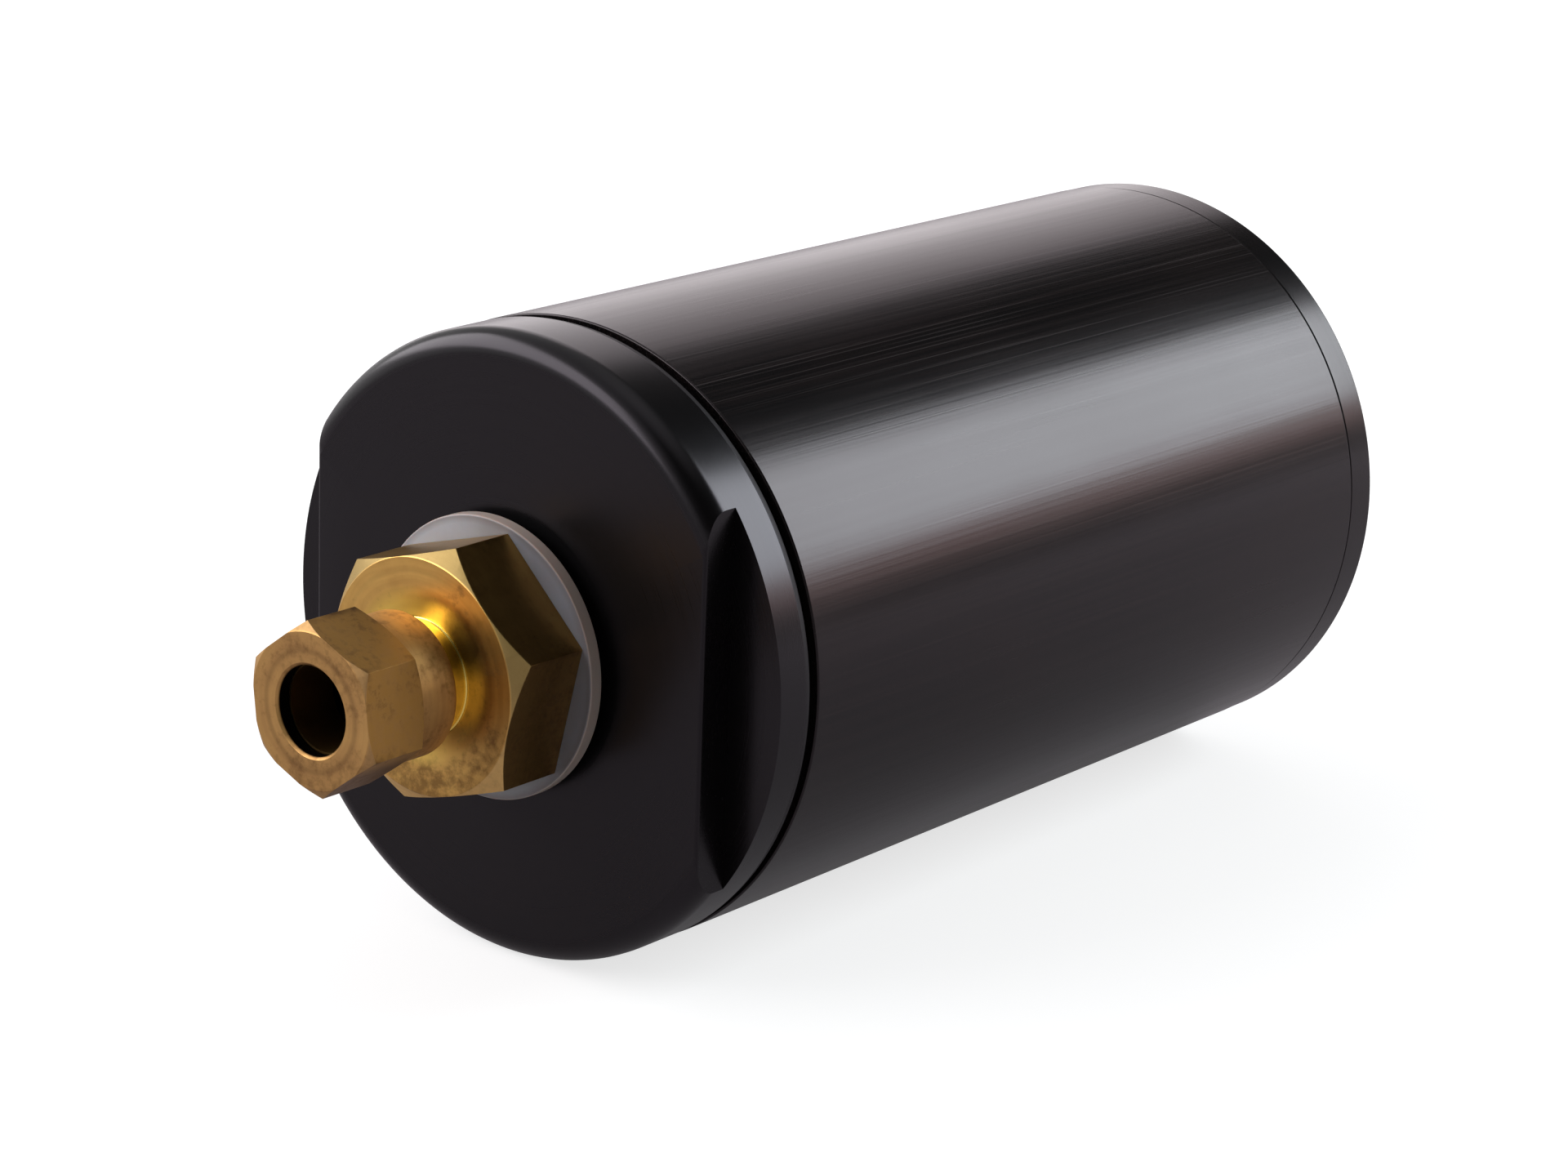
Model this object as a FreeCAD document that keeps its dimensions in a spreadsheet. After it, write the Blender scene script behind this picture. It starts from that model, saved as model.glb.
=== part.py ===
import FreeCAD, Part
import Sketcher
import os
from FreeCAD import Placement, Rotation, Vector

# Spring-loaded hydraulic reservoir: a tube closed by two screwed caps, with a
# floating piston inside it that a spring pushes towards the oil port.
#
# Millimetres, +Z up. The barrel lies along Y with its port towards -Y, the
# origin is under the middle of the overall length, and Z = 0 touches the
# barrel's underside. Every turned piece is drawn with its own port end at 0.

sizes = {
    # Clearances
    "threadClearance": 0.05,       # radial, every male thread in its female
    "plugClearance": 0.05,         # radial, unthreaded noses and rings in bores
    "slideClearance": 0.03,        # radial, guide band and seals in the barrel
    "seatClearance": 0.15,         # ferrule to the adaptor's end
    "ferruleClearance": 0.2,       # radial, ferrule nose in the nut's cone
    "restClearance": 0.3,          # piston to front cap when the tank is empty
    "capShrink": 0.05,             # radial, either cap below the barrel's outside
    "cutterOverrun": 2.0,          # how far a cutting area goes past the piece

    # Barrel
    "barrelDia": 60.0,
    "barrelWall": 5.0,
    "barrelLength": 90.0,
    "capThreadStep": 2.0,          # radial, bore to the caps' thread
    "threadRunOut": 1.0,           # female threads run this far past the male ones
    "boreLeadIn": 0.8,
    "barrelFrontBevel": 0.3,
    "barrelRearBevel": 0.2,

    # Front cap
    "flangeWidth": 8.1,
    "flangeRound": 2.5,
    "flangeBackTaper": 0.62,
    "flangeBackDrop": 0.22,
    "flatsAcross": 48.0,
    "flatsDepth": 3.9,
    "flatsCornerRound": 0.15,
    "frontSpigotLength": 12.0,
    "spigotBevel": 0.8,
    "portThreadDia": 13.16,
    "portDepth": 13.0,
    "portSeatDia": 24.0,
    "portSeatHeight": 1.2,
    "capPassageDia": 8.0,
    "capDishDia": 42.0,
    "capDishDepth": 1.2,

    # Joint ring, seen as the dark line between front cap and barrel
    "jointRingWidth": 1.0,
    "jointRingInset": 0.9,
    "jointRingSideGap": 0.3,

    # Nylon port washer
    "washerDia": 26.8,
    "washerSideGap": 0.12,         # radial, washer on the port thread
    "washerThickness": 1.5,
    "washerBevel": 0.2,

    # Port adaptor
    "adaptorHexAcross": 22.2,
    "adaptorHexTurn": 13.65,
    "adaptorHexLength": 8.1,
    "adaptorFaceDia": 22.1,
    "adaptorHexBevel": 1.3,
    "adaptorStubLength": 11.5,
    "adaptorNoseLength": 10.0,
    "adaptorThreadDia": 12.0,
    "adaptorNeckStep": 0.6,        # radial, thread down to the neck
    "adaptorNeckLength": 2.8,
    "adaptorDishDia": 16.4,
    "adaptorDishDepth": 0.4,
    "adaptorOilBore": 5.5,
    "tubeDia": 8.0,
    "tubeSocketGap": 0.05,         # radial, tube in the adaptor
    "tubeSocketDepth": 9.0,
    "ferruleMouthWall": 1.0,       # thread to the cone's mouth
    "ferruleMouthDepth": 4.5,
    "threadBevel": 0.5,

    # Ferrule
    "ferruleTubeGap": 0.08,        # radial, ferrule on the tube
    "ferruleNoseWall": 0.22,
    "ferruleHeadStep": 0.3,        # radial, head beyond the cone's mouth
    "ferruleHeadLength": 0.95,
    "ferruleTailLength": 3.1,

    # Compression nut
    "nutWall": 1.0,                # thread to the flats
    "nutTurn": -6.9,
    "nutHexLength": 7.1,
    "nutCollarLength": 4.5,
    "nutCollarWall": 0.8,          # thread to the collar's outside
    "nutCollarRound": 0.45,
    "nutFaceOverlap": 0.17,        # radial, face circle beyond the flats
    "nutFaceBevel": 0.6,
    "nutBackBevel": 0.7,
    "nutStandOff": 2.1,            # adaptor's hex face to the back of the nut
    "nutTubeGap": 0.15,            # radial, tube through the nut
    "nutMouthBevel": 0.25,

    # Rear cap
    "rimWidth": 4.0,
    "rimBevel": 0.3,
    "rearThreadLength": 8.0,
    "rearNoseLength": 6.0,
    "pinHoleDia": 4.0,
    "pinHoleDepth": 3.0,
    "pinHoleCircle": 40.0,
    "breatherThreadDia": 10.0,
    "breatherDepth": 7.5,
    "ventDia": 4.0,
    "seatRecessDepth": 1.0,

    # O-rings, their grooves and the guide band
    "ringSection": 2.4,
    "ringGrooveWidth": 3.0,
    "rearGrooveOffset": 1.2,
    "frontSealOffset": 2.4,
    "rearSealOffset": 14.6,
    "bandWidth": 5.0,
    "bandThickness": 1.6,
    "bandOffset": 7.5,

    # Piston
    "pistonSideGap": 0.2,          # radial, piston in the bore
    "pistonLength": 22.0,
    "pistonCrown": 6.5,
    "pistonSkirtWall": 3.52,       # seal groove's floor to the hollow for the spring
    "pistonBevel": 0.6,

    # Bleed screw and its seal
    "bleedThreadDia": 5.0,
    "bleedHeadDia": 8.5,
    "bleedHeadHeight": 2.4,
    "bleedShankLength": 3.6,
    "bleedSocketAcross": 3.0,
    "bleedSocketDepth": 1.4,
    "bleedSealDia": 9.0,
    "bleedSealThickness": 0.6,
    "bleedRecessDia": 11.0,
    "bleedSink": 0.3,

    # Spring and its seat
    "springSideGap": 1.5,          # radial, spring in the piston's hollow
    "springWire": 2.2,
    "springCoils": 7,
    "seatOuterMargin": 2.5,        # radial, seat beyond the spring's outside
    "seatInnerMargin": 1.3,        # radial, seat within the spring's inside
    "seatThickness": 1.0,

    # Breather in the rear cap
    "breatherSink": 0.4,
    "breatherSocketAcross": 5.0,
    "breatherSocketDepth": 2.4,
    "breatherPassageDia": 3.0,
    "filterDia": 6.8,
    "filterThickness": 1.6,
    "filterPocketDepth": 3.0,
    "filterRingDia": 7.7,
    "filterRingBore": 5.4,
    "filterRingThickness": 0.6,
    "filterRingGap": 1.6,
}

doc = FreeCAD.newDocument("hydraulic_reservoir")
sheet = doc.addObject("Spreadsheet::Sheet", "Sizes")
for row, (alias, number) in enumerate(sizes.items(), start=1):
    sheet.set(f"A{row}", alias)
    sheet.set(f"B{row}", str(number))
    sheet.setAlias(f"B{row}", alias)
doc.recompute()


class Size:
    """A length that knows its number now and the sheet expression behind it."""

    def __init__(self, text, number):
        self.text = text
        self.number = number

    def join(self, other, sign, number):
        other_text = other.text if isinstance(other, Size) else str(other)
        return Size(f"({self.text} {sign} {other_text})", number)

    def __add__(self, other):
        return self.join(other, "+", self.number + number_of(other))

    def __sub__(self, other):
        return self.join(other, "-", self.number - number_of(other))

    def __mul__(self, other):
        return self.join(other, "*", self.number * number_of(other))

    def __truediv__(self, other):
        return self.join(other, "/", self.number / number_of(other))


def number_of(value):
    return value.number if isinstance(value, Size) else value


def cell(alias):
    return Size(f"Sizes.{alias}", sizes[alias])


def radius(alias):
    return cell(alias) / 2


def bind(thing, prop, size):
    thing.setExpression(prop, size.text)


TINY = 1e-4                        # how near two places are to be the same
COS_30 = 0.8660254037844386
axis_height = radius("barrelDia")


# Helpers that draw and cut the way each piece is made

def place(thing, station, turn=None):
    angle = 0 if turn is None else turn.number
    thing.Placement = Placement(Vector(0, 0, 0), Rotation(Vector(0, 1, 0), angle))
    if turn is not None:
        bind(thing, "Placement.Rotation.Angle", turn)
    bind(thing, "Placement.Base.y", station)
    bind(thing, "Placement.Base.z", axis_height)


def sketch_on(body, role, name):
    sketch = body.newObject("Sketcher::SketchObject", name)
    sketch.AttachmentSupport = (origin_part(body, role), [""])
    sketch.MapMode = "FlatFace"
    return sketch


def fix_point(sketch, line, end, across, along):
    for kind, axis, size in (("DistanceX", -2, across), ("DistanceY", -1, along)):
        if isinstance(size, Size):
            index = sketch.addConstraint(Sketcher.Constraint(kind, -1, 1, line, end, size.number))
            sketch.setExpression(f"Constraints[{index}]", size.text)
        else:
            sketch.addConstraint(Sketcher.Constraint("PointOnObject", line, end, axis))


def draw_outline(sketch, outline):
    first = len(sketch.Geometry)
    count = len(outline)
    corners = [Vector(number_of(across), number_of(along), 0) for across, along in outline]
    for step in range(count):
        sketch.addGeometry(Part.LineSegment(corners[step], corners[(step + 1) % count]), False)
    for step in range(count):
        following = first + (step + 1) % count
        sketch.addConstraint(Sketcher.Constraint("Coincident", first + step, 2, following, 1))
    for step, (across, along) in enumerate(outline):
        fix_point(sketch, first + step, 1, across, along)


def draw_circle(sketch, dia, across=0, along=0):
    centre = Vector(number_of(across), number_of(along), 0)
    ring = sketch.addGeometry(Part.Circle(centre, Vector(0, 0, 1), dia.number / 2), False)
    index = sketch.addConstraint(Sketcher.Constraint("Diameter", ring, dia.number))
    sketch.setExpression(f"Constraints[{index}]", dia.text)
    fix_point(sketch, ring, 3, across, along)
    return ring


def draw_hexagon(sketch, across_flats):
    corner_dia = across_flats / COS_30
    rim = draw_circle(sketch, corner_dia)
    sketch.toggleConstruction(rim)
    first = len(sketch.Geometry)
    arm = Vector(0, corner_dia.number / 2, 0)
    corners = [Rotation(Vector(0, 0, 1), 60 * step).multVec(arm) for step in range(6)]
    for step in range(6):
        sketch.addGeometry(Part.LineSegment(corners[step], corners[(step + 1) % 6]), False)
    for step in range(6):
        following = first + (step + 1) % 6
        sketch.addConstraint(Sketcher.Constraint("Coincident", first + step, 2, following, 1))
    sketch.addConstraint(Sketcher.Constraint("PointOnObject", first, 1, -2))
    for step in range(6):
        sketch.addConstraint(Sketcher.Constraint("PointOnObject", first + step, 1, rim))
    for step in range(1, 6):
        sketch.addConstraint(Sketcher.Constraint("Equal", first, first + step))


def turned(label, outline, station, turn=None):
    body = doc.addObject("PartDesign::Body", label)
    sketch = sketch_on(body, "XY_Plane", label + "_outline")
    draw_outline(sketch, outline)
    blank = body.newObject("PartDesign::Revolution", label + "_turned")
    blank.Profile = sketch
    blank.ReferenceAxis = (sketch, ["V_Axis"])
    blank.Angle = 360
    sketch.Visibility = False
    place(body, station, turn)
    doc.recompute()
    return body


def cut(body, sketch, depth=None, along=1):
    # Cuts the sketch's area out, right through or to a depth towards +Y (1) or -Y (-1)
    before = body.Shape.Volume
    pocket = body.newObject("PartDesign::Pocket", sketch.Name + "_cut")
    pocket.Profile = sketch
    if depth is None:
        pocket.Type = "ThroughAll"
        pocket.Midplane = True
    else:
        pocket.Type = "Length"
        bind(pocket, "Length", depth)
        pocket.Reversed = along < 0
    sketch.Visibility = False
    doc.recompute()
    if body.Shape.Volume > before - 0.01:
        raise RuntimeError(f"{sketch.Name} cut nothing")
    return pocket


def mill_hexagon(body, across_flats, blank_dia):
    # Everything outside the flats goes; what is turned smaller is not touched
    sketch = sketch_on(body, "XZ_Plane", body.Label + "_hexagon")
    draw_hexagon(sketch, across_flats)
    draw_circle(sketch, blank_dia + cell("cutterOverrun") * 2)
    return cut(body, sketch)


def round_edges(body, size, wanted):
    edges = [f"Edge{n}" for n, edge in enumerate(body.Shape.Edges, start=1) if wanted(edge)]
    if not edges:
        raise RuntimeError(f"no edge to round on {body.Label}")
    solid = body.Tip
    fillet = body.newObject("PartDesign::Fillet", body.Label + "_round")
    fillet.Base = (solid, edges)
    bind(fillet, "Radius", size)
    doc.recompute()


def repeat(body, kind, originals, **settings):
    # Mirrored or polar copies of cuts; the copies count once they are the tip
    before = body.Shape.Volume
    copies = body.newObject("PartDesign::" + kind, body.Label + "_" + kind.lower())
    copies.Originals = originals
    for prop, value in settings.items():
        setattr(copies, prop, value)
    body.Tip = copies
    doc.recompute()
    if body.Shape.Volume > before - 0.01:
        raise RuntimeError(f"{copies.Name} cut nothing")


def origin_part(body, role):
    return next(item for item in body.Origin.OriginFeatures if item.Role == role)


def is_ring(edge, ring_radius, station):
    if not isinstance(edge.Curve, Part.Circle):
        return False
    same_size = abs(edge.Curve.Radius - ring_radius.number) < TINY
    return same_size and abs(edge.Curve.Center.y - station.number) < TINY


def ring_between(bore, dia, width, station, label, bevel=None):
    if bevel is None:
        outline = [(bore / 2, 0), (dia / 2, 0), (dia / 2, width), (bore / 2, width)]
    else:
        outline = [
            (bore / 2, 0),
            (dia / 2 - bevel, 0),
            (dia / 2, bevel),
            (dia / 2, width - bevel),
            (dia / 2 - bevel, width),
            (bore / 2, width),
        ]
    return turned(label, outline, station)


def round_ring(label, outer_radius, station):
    # An O-ring of the common section whose outside reaches outer_radius
    torus = doc.addObject("Part::Torus", label)
    bind(torus, "Radius1", outer_radius - cell("ringSection") / 2)
    bind(torus, "Radius2", cell("ringSection") / 2)
    torus.Placement = Placement(Vector(0, 0, 0), Rotation(Vector(1, 0, 0), 90))
    bind(torus, "Placement.Base.y", station)
    bind(torus, "Placement.Base.z", axis_height)
    doc.recompute()
    return torus


# Stations along Y, from the port end to the rear face

nut_length = cell("nutHexLength") + cell("nutCollarLength")
port_length = (
    nut_length
    + cell("nutStandOff")
    + cell("adaptorHexLength")
    + cell("washerThickness")
    + cell("portSeatHeight")
    + cell("flangeWidth")
    + cell("jointRingWidth")
)
rear_length = cell("barrelLength") + cell("rimWidth")
barrel_front = (port_length - rear_length) / 2
barrel_rear = barrel_front + cell("barrelLength")
flange_back = barrel_front - cell("jointRingWidth")
flange_face = flange_back - cell("flangeWidth")
seat_face = flange_face - cell("portSeatHeight")
hex_back = seat_face - cell("washerThickness")
hex_face = hex_back - cell("adaptorHexLength")
adaptor_tip = hex_face - cell("adaptorNoseLength")
nut_back = hex_face - cell("nutStandOff")
nut_front = nut_back - nut_length
tube_socket = radius("tubeDia") + cell("tubeSocketGap")
ferrule_mouth = radius("adaptorThreadDia") - cell("ferruleMouthWall")
ferrule_bore = radius("tubeDia") + cell("ferruleTubeGap")
ferrule_nose = ferrule_bore + cell("ferruleNoseWall")
ferrule_head = ferrule_mouth + cell("ferruleHeadStep")
ferrule_nose_length = ferrule_head - ferrule_nose
ferrule_head_end = ferrule_nose_length + cell("ferruleHeadLength")
ferrule_front = adaptor_tip - cell("seatClearance") - ferrule_head_end
front_cap_inner = flange_back + cell("frontSpigotLength")
rear_cap_inner = barrel_rear - cell("rearThreadLength") - cell("rearNoseLength")
piston_front = front_cap_inner + cell("restClearance")
spring_front = piston_front + cell("pistonCrown")
seat_front = rear_cap_inner + cell("seatRecessDepth") - cell("seatThickness")
breather_length = cell("breatherDepth") - cell("breatherSink")
breather_inner = barrel_rear + cell("rimWidth") - cell("breatherDepth")
bleed_recess = cell("bleedHeadHeight") + cell("bleedSealThickness") + cell("bleedSink")
front_thread_depth = front_cap_inner - barrel_front + cell("threadRunOut")
rear_thread_depth = cell("rearThreadLength") + cell("threadRunOut")

bore_radius = radius("barrelDia") - cell("barrelWall")
thread_female = bore_radius + cell("capThreadStep")
thread_male = thread_female - cell("threadClearance")
groove_floor = bore_radius - cell("ringSection") - cell("plugClearance") - cell("slideClearance")
piston_cup = groove_floor - cell("pistonSkirtWall")
spring_outer = piston_cup - cell("springSideGap")
seat_outer = spring_outer + cell("seatOuterMargin")
seat_inner = spring_outer - cell("springWire") - cell("seatInnerMargin")


# Barrel: a tube, bored for the piston and threaded at both ends

def make_barrel():
    outer = radius("barrelDia")
    length = cell("barrelLength")
    lead = cell("boreLeadIn")
    front_bevel = cell("barrelFrontBevel")
    rear_bevel = cell("barrelRearBevel")
    rear_step = length - rear_thread_depth
    return turned(
        "barrel",
        [
            (thread_female + front_bevel, 0),
            (outer - front_bevel, 0),
            (outer, front_bevel),
            (outer, length - rear_bevel),
            (outer - rear_bevel, length),
            (thread_female + rear_bevel, length),
            (thread_female, length - rear_bevel),
            (thread_female, rear_step),
            (bore_radius + lead, rear_step),
            (bore_radius, rear_step - lead),
            (bore_radius, front_thread_depth + lead),
            (bore_radius + lead, front_thread_depth),
            (thread_female, front_thread_depth),
            (thread_female, front_bevel),
        ],
        barrel_front,
    )


# Front cap: flange with two spanner flats, threaded spigot and oil port with
# a low raised seat

def make_front_cap():
    outer = radius("barrelDia") - cell("capShrink")
    spigot_bevel = cell("spigotBevel")
    flange = cell("flangeWidth")
    whole = flange + cell("frontSpigotLength")
    port = radius("portThreadDia")
    seat = cell("portSeatHeight") * -1
    dish = radius("capDishDia")
    dish_depth = cell("capDishDepth")
    body = turned(
        "front_cap",
        [
            (port, seat),
            (radius("portSeatDia"), seat),
            (radius("portSeatDia"), 0),
            (outer, 0),
            (outer, flange - cell("flangeBackTaper")),
            (outer - cell("flangeBackDrop"), flange),
            (thread_male, flange),
            (thread_male, whole - spigot_bevel),
            (thread_male - spigot_bevel, whole),
            (dish, whole),
            (dish - dish_depth, whole - dish_depth),
            (radius("capPassageDia"), whole - dish_depth),
            (radius("capPassageDia"), cell("portDepth")),
            (port, cell("portDepth")),
        ],
        flange_face,
    )
    round_edges(body, cell("flangeRound"), lambda edge: is_ring(edge, outer, flange_face))

    flats = sketch_on(body, "XZ_Plane", "spanner_flat")
    across = radius("flatsAcross")
    reach = radius("barrelDia") + cell("cutterOverrun")
    draw_outline(
        flats,
        [(across, reach * -1), (reach, reach * -1), (reach, reach), (across, reach)],
    )
    flat = cut(body, flats, cell("flatsDepth"))
    repeat(body, "Mirrored", [flat], MirrorPlane=(origin_part(body, "YZ_Plane"), [""]))

    shoulder = flange_face + cell("flatsDepth")

    def is_flat_root(edge):
        ends = edge.Vertexes
        if len(ends) != 2 or not isinstance(edge.Curve, Part.Line):
            return False
        on_shoulder = all(abs(end.Y - shoulder.number) < TINY for end in ends)
        return on_shoulder and all(abs(abs(end.X) - across.number) < TINY for end in ends)

    round_edges(body, cell("flatsCornerRound"), is_flat_root)
    return body


# Joint ring: the flat black ring squeezed between front cap and barrel

def make_joint_ring():
    dia = cell("barrelDia") - cell("jointRingInset") * 2
    bore = (thread_female + cell("jointRingSideGap")) * 2
    return ring_between(bore, dia, cell("jointRingWidth"), flange_back, "joint_ring")


# Port: nylon washer, brass adaptor, ferrule and compression nut

def make_port_washer():
    return ring_between(
        cell("portThreadDia") + cell("washerSideGap") * 2,
        cell("washerDia"),
        cell("washerThickness"),
        hex_back,
        "port_washer",
        cell("washerBevel"),
    )


def make_port_adaptor():
    thread = radius("adaptorThreadDia") - cell("threadClearance")
    stub = radius("portThreadDia") - cell("threadClearance")
    bevel = cell("threadBevel")
    neck = radius("adaptorThreadDia") - cell("adaptorNeckStep")
    face = cell("adaptorNoseLength")
    neck_start = face - cell("adaptorNeckLength")
    hex_end = face + cell("adaptorHexLength")
    tail = hex_end + cell("adaptorStubLength")
    corner = radius("adaptorHexAcross") / COS_30
    oil = radius("adaptorOilBore")
    body = turned(
        "port_adaptor",
        [
            (ferrule_mouth, 0),
            (thread - bevel, 0),
            (thread, bevel),
            (thread, neck_start - bevel),
            (neck, neck_start),
            (neck, face + cell("adaptorDishDepth")),
            (radius("adaptorDishDia"), face),
            (radius("adaptorFaceDia"), face),
            (corner, face + cell("adaptorHexBevel")),
            (corner, hex_end),
            (stub, hex_end),
            (stub, tail - bevel),
            (stub - bevel, tail),
            (oil, tail),
            (oil, cell("tubeSocketDepth")),
            (tube_socket, cell("tubeSocketDepth")),
            (tube_socket, cell("ferruleMouthDepth")),
        ],
        adaptor_tip,
        cell("adaptorHexTurn"),
    )
    mill_hexagon(body, cell("adaptorHexAcross"), corner * 2)
    return body


def make_ferrule():
    # Head towards the nut, thin tapered tail inside the adaptor's mouth
    head_end = ferrule_head_end
    tail_end = head_end + cell("seatClearance") + cell("ferruleTailLength")
    mouth = ferrule_mouth - cell("plugClearance")
    slope = (ferrule_mouth - tube_socket) / cell("ferruleMouthDepth")
    tail_tip = mouth - slope * cell("ferruleTailLength")
    return turned(
        "ferrule",
        [
            (ferrule_bore, 0),
            (ferrule_nose, 0),
            (ferrule_head, ferrule_nose_length),
            (ferrule_head, head_end),
            (mouth, head_end),
            (mouth, head_end + cell("seatClearance")),
            (tail_tip, tail_end),
            (ferrule_bore, tail_end),
        ],
        ferrule_front,
    )


def make_compression_nut():
    thread = radius("adaptorThreadDia")
    across = (thread + cell("nutWall")) * 2
    corner = across / 2 / COS_30
    collar = thread + cell("nutCollarWall")
    hex_end = cell("nutHexLength")
    bore = radius("tubeDia") + cell("nutTubeGap")
    mouth_bevel = cell("nutMouthBevel")
    cone_gap = cell("ferruleClearance") + ferrule_nose
    land_end = ferrule_front - nut_front + bore - cone_gap
    seat_end = land_end + thread - bore
    body = turned(
        "compression_nut",
        [
            (bore + mouth_bevel, 0),
            (across / 2 + cell("nutFaceOverlap"), 0),
            (corner, cell("nutFaceBevel")),
            (corner, hex_end - cell("nutBackBevel")),
            (collar, hex_end),
            (collar, nut_length),
            (thread, nut_length),
            (thread, seat_end),
            (bore, land_end),
            (bore, mouth_bevel),
        ],
        nut_front,
        cell("nutTurn"),
    )
    round_edges(body, cell("nutCollarRound"), lambda edge: is_ring(edge, collar, nut_back))
    mill_hexagon(body, across, corner * 2)
    return body


# Rear cap: flush rim, threaded spigot, sealed nose, two pin-spanner holes and
# a threaded seat for the breather

def make_rear_cap():
    outer = radius("barrelDia") - cell("capShrink")
    nose = bore_radius - cell("plugClearance")
    nose_length = cell("rearNoseLength")
    spigot_end = nose_length + cell("rearThreadLength")
    whole = spigot_end + cell("rimWidth")
    groove_start = cell("rearGrooveOffset")
    groove_end = groove_start + cell("ringGrooveWidth")
    recess = seat_outer + cell("plugClearance")
    bevel = cell("spigotBevel")
    rim_bevel = cell("rimBevel")
    breather = radius("breatherThreadDia")
    breather_seat = whole - cell("breatherDepth")
    body = turned(
        "rear_cap",
        [
            (radius("ventDia"), cell("seatRecessDepth")),
            (recess, cell("seatRecessDepth")),
            (recess, 0),
            (nose, 0),
            (nose, groove_start),
            (groove_floor, groove_start),
            (groove_floor, groove_end),
            (nose, groove_end),
            (nose, nose_length),
            (thread_male - bevel, nose_length),
            (thread_male, nose_length + bevel),
            (thread_male, spigot_end),
            (outer, spigot_end),
            (outer, whole - rim_bevel),
            (outer - rim_bevel, whole),
            (breather, whole),
            (breather, breather_seat),
            (radius("ventDia"), breather_seat),
        ],
        rear_cap_inner,
    )
    pin = sketch_on(body, "XZ_Plane", "pin_hole")
    bind(pin, "AttachmentOffset.Base.z", whole * -1)
    draw_circle(pin, cell("pinHoleDia"), radius("pinHoleCircle"), 0)
    hole = cut(body, pin, cell("pinHoleDepth"), -1)
    y_axis = origin_part(body, "Y_Axis")
    repeat(body, "PolarPattern", [hole], Axis=(y_axis, [""]), Angle=360, Occurrences=2)
    return body


def make_rear_o_ring():
    middle = cell("rearGrooveOffset") + cell("ringGrooveWidth") / 2
    outer = bore_radius - cell("slideClearance")
    return round_ring("rear_o_ring", outer, rear_cap_inner + middle)


# Breather: a plug screwed into the rear cap, with a filter disc held by a ring

def make_breather_plug():
    thread = radius("breatherThreadDia") - cell("threadClearance")
    length = breather_length
    pocket = radius("filterDia") + cell("plugClearance")
    ring_land = radius("filterRingDia") + cell("plugClearance")
    ring_start = cell("filterPocketDepth") - cell("filterThickness") - cell("filterRingThickness")
    ring_end = cell("filterPocketDepth") - cell("filterThickness")
    bevel = cell("threadBevel")
    body = turned(
        "breather_plug",
        [
            (pocket, 0),
            (thread - bevel, 0),
            (thread, bevel),
            (thread, length - bevel),
            (thread - bevel, length),
            (radius("breatherPassageDia"), length),
            (radius("breatherPassageDia"), cell("filterPocketDepth")),
            (pocket, cell("filterPocketDepth")),
            (pocket, ring_end),
            (ring_land, ring_end),
            (ring_land, ring_start),
            (pocket, ring_start),
        ],
        breather_inner,
    )
    socket = sketch_on(body, "XZ_Plane", "breather_socket")
    bind(socket, "AttachmentOffset.Base.z", length * -1)
    draw_hexagon(socket, cell("breatherSocketAcross"))
    cut(body, socket, cell("breatherSocketDepth"), -1)
    return body


def make_breather_filter():
    station = breather_inner + cell("filterPocketDepth") - cell("filterThickness")
    dia = cell("filterDia")
    return turned(
        "breather_filter",
        [(0, 0), (dia / 2, 0), (dia / 2, cell("filterThickness")), (0, cell("filterThickness"))],
        station,
    )


def make_breather_ring():
    # A sprung ring with a gap, in the groove under the filter disc
    thickness = cell("filterRingThickness")
    station = breather_inner + cell("filterPocketDepth") - cell("filterThickness") - thickness
    body = ring_between(
        cell("filterRingBore"), cell("filterRingDia"), thickness, station, "breather_ring"
    )
    gap = sketch_on(body, "XZ_Plane", "ring_gap")
    side = cell("filterRingGap") / 2
    reach = cell("filterRingDia")
    draw_outline(gap, [(side * -1, 0), (side, 0), (side, reach), (side * -1, reach)])
    cut(body, gap)
    return body


# Floating piston with its two seals, guide band and bleed screw

def make_piston():
    outer = bore_radius - cell("pistonSideGap")
    bevel = cell("pistonBevel")
    length = cell("pistonLength")
    crown = cell("pistonCrown")
    front_start = cell("frontSealOffset")
    rear_start = cell("rearSealOffset")
    ring_width = cell("ringGrooveWidth")
    band_start = cell("bandOffset")
    band_floor = bore_radius - cell("bandThickness") - cell("plugClearance") - cell("slideClearance")
    recess = radius("bleedRecessDia")
    bleed = radius("bleedThreadDia")
    outline = [
        (bleed, bleed_recess),
        (recess, bleed_recess),
        (recess, 0),
        (outer - bevel, 0),
        (outer, bevel),
    ]
    grooves = (
        (front_start, ring_width, groove_floor),
        (band_start, cell("bandWidth"), band_floor),
        (rear_start, ring_width, groove_floor),
    )
    for start, width, floor in grooves:
        outline += [(outer, start), (floor, start), (floor, start + width), (outer, start + width)]
    outline += [
        (outer, length - bevel),
        (outer - bevel, length),
        (piston_cup, length),
        (piston_cup, crown),
        (bleed, crown),
    ]
    return turned("piston", outline, piston_front)


def make_piston_seal(label, groove_start):
    outer = bore_radius - cell("slideClearance")
    return round_ring(label, outer, piston_front + groove_start + cell("ringGrooveWidth") / 2)


def make_guide_band():
    dia = (bore_radius - cell("slideClearance")) * 2
    bore = dia - cell("bandThickness") * 2
    width = cell("bandWidth") - cell("plugClearance") * 2
    station = piston_front + cell("bandOffset") + cell("plugClearance")
    return ring_between(bore, dia, width, station, "guide_band")


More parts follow.
